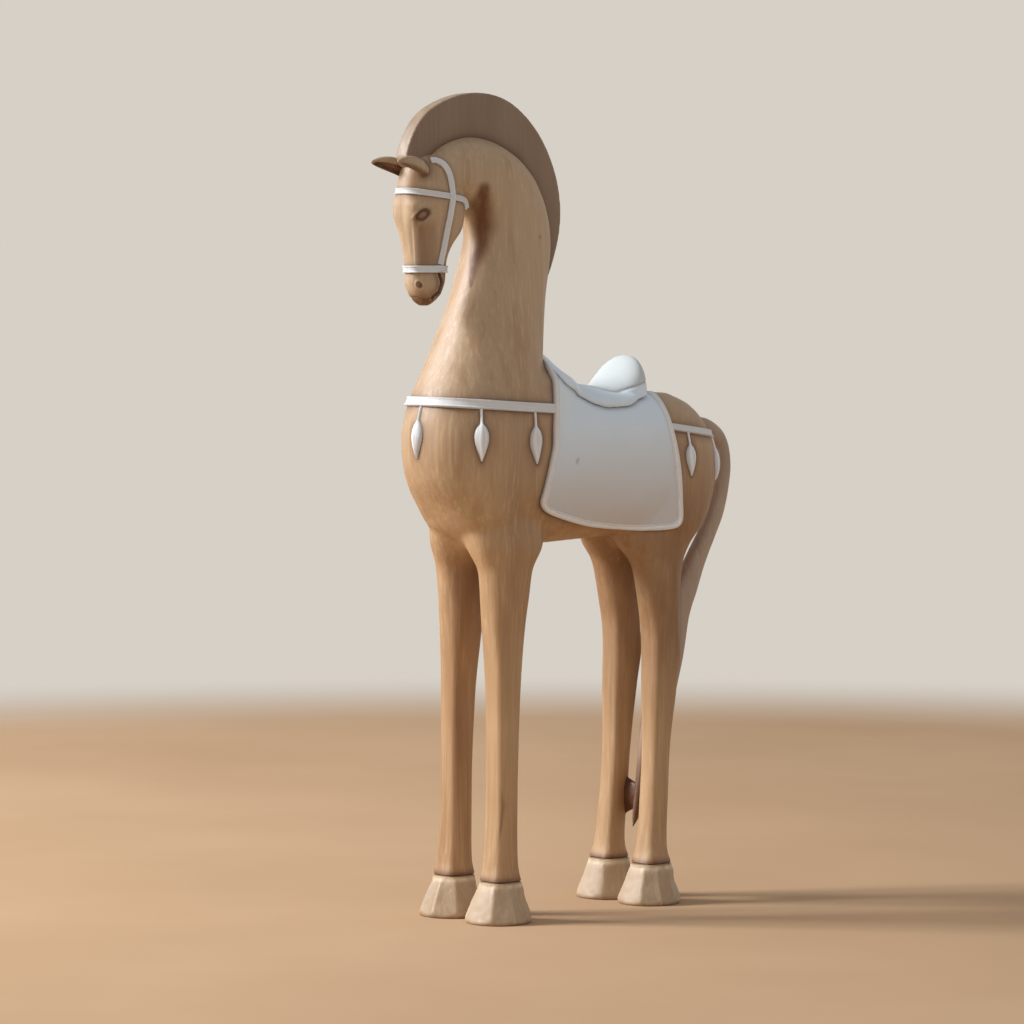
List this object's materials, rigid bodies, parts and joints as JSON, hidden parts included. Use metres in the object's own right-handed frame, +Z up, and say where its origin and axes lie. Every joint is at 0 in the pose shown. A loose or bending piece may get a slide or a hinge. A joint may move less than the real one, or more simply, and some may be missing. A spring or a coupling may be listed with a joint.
{
  "type": "horse figurine",
  "caption": "Slender standing horse figurine of carved, painted wood with an arched neck, crescent crest board, saddle, cloth, bridle and tasselled straps, resting on its hooves.",
  "frame": {"origin": "middle of the figurine's length and width, on the surface that the hooves stand on", "axes": "+Z up, -Y the way the horse faces, +X towards the horse's left side"},
  "size_m": [0.0846, 0.2836, 0.4973],
  "materials": {
    "wood": "satin",
    "mane_wood": "satin",
    "hoof_wood": "satin",
    "peg_wood": "matt",
    "grey_paint": "satin paint",
    "white_paint": "satin paint"
  },
  "bodies": {
    "root": {"torso": "wood", "neck": "wood", "head": "wood", "ear_left": "wood", "ear_right": "wood", "mane_board": "mane_wood", "tail": "wood", "tail_web": "wood", "saddle_cloth": "grey_paint", "cloth_border": "white_paint", "saddle_flap": "grey_paint", "saddle_seat": "white_paint", "breast_strap": "white_paint", "crupper_strap_left": "white_paint", "crupper_strap_right": "white_paint", "chest_tassel_middle": "white_paint", "chest_tassel_left": "white_paint", "shoulder_tassel_left": "white_paint", "rump_tassel_left": "white_paint", "tail_tassel_left": "white_paint", "chest_tassel_right": "white_paint", "shoulder_tassel_right": "white_paint", "rump_tassel_right": "white_paint", "tail_tassel_right": "white_paint", "nose_strap": "white_paint", "cheek_strap_left": "white_paint", "cheek_strap_right": "white_paint", "brow_strap": "white_paint", "throat_strap_left": "white_paint", "throat_strap_right": "white_paint", "front_left_leg": "wood", "front_left_leg_dowel": "peg_wood", "front_right_leg": "wood", "front_right_leg_dowel": "peg_wood", "rear_left_leg": "wood", "rear_left_leg_dowel": "peg_wood", "rear_right_leg": "wood", "rear_right_leg_dowel": "peg_wood", "neck_dowel_1": "peg_wood", "neck_dowel_2": "peg_wood", "mane_dowel_1": "peg_wood", "mane_dowel_2": "peg_wood", "head_dowel": "peg_wood", "tail_dowel": "peg_wood", "front_left_hoof": "hoof_wood", "front_left_hoof_dowel": "peg_wood", "front_right_hoof": "hoof_wood", "front_right_hoof_dowel": "peg_wood", "rear_left_hoof": "hoof_wood", "rear_left_hoof_dowel": "peg_wood", "rear_right_hoof": "hoof_wood", "rear_right_hoof_dowel": "peg_wood"}
  },
  "joints": []
}
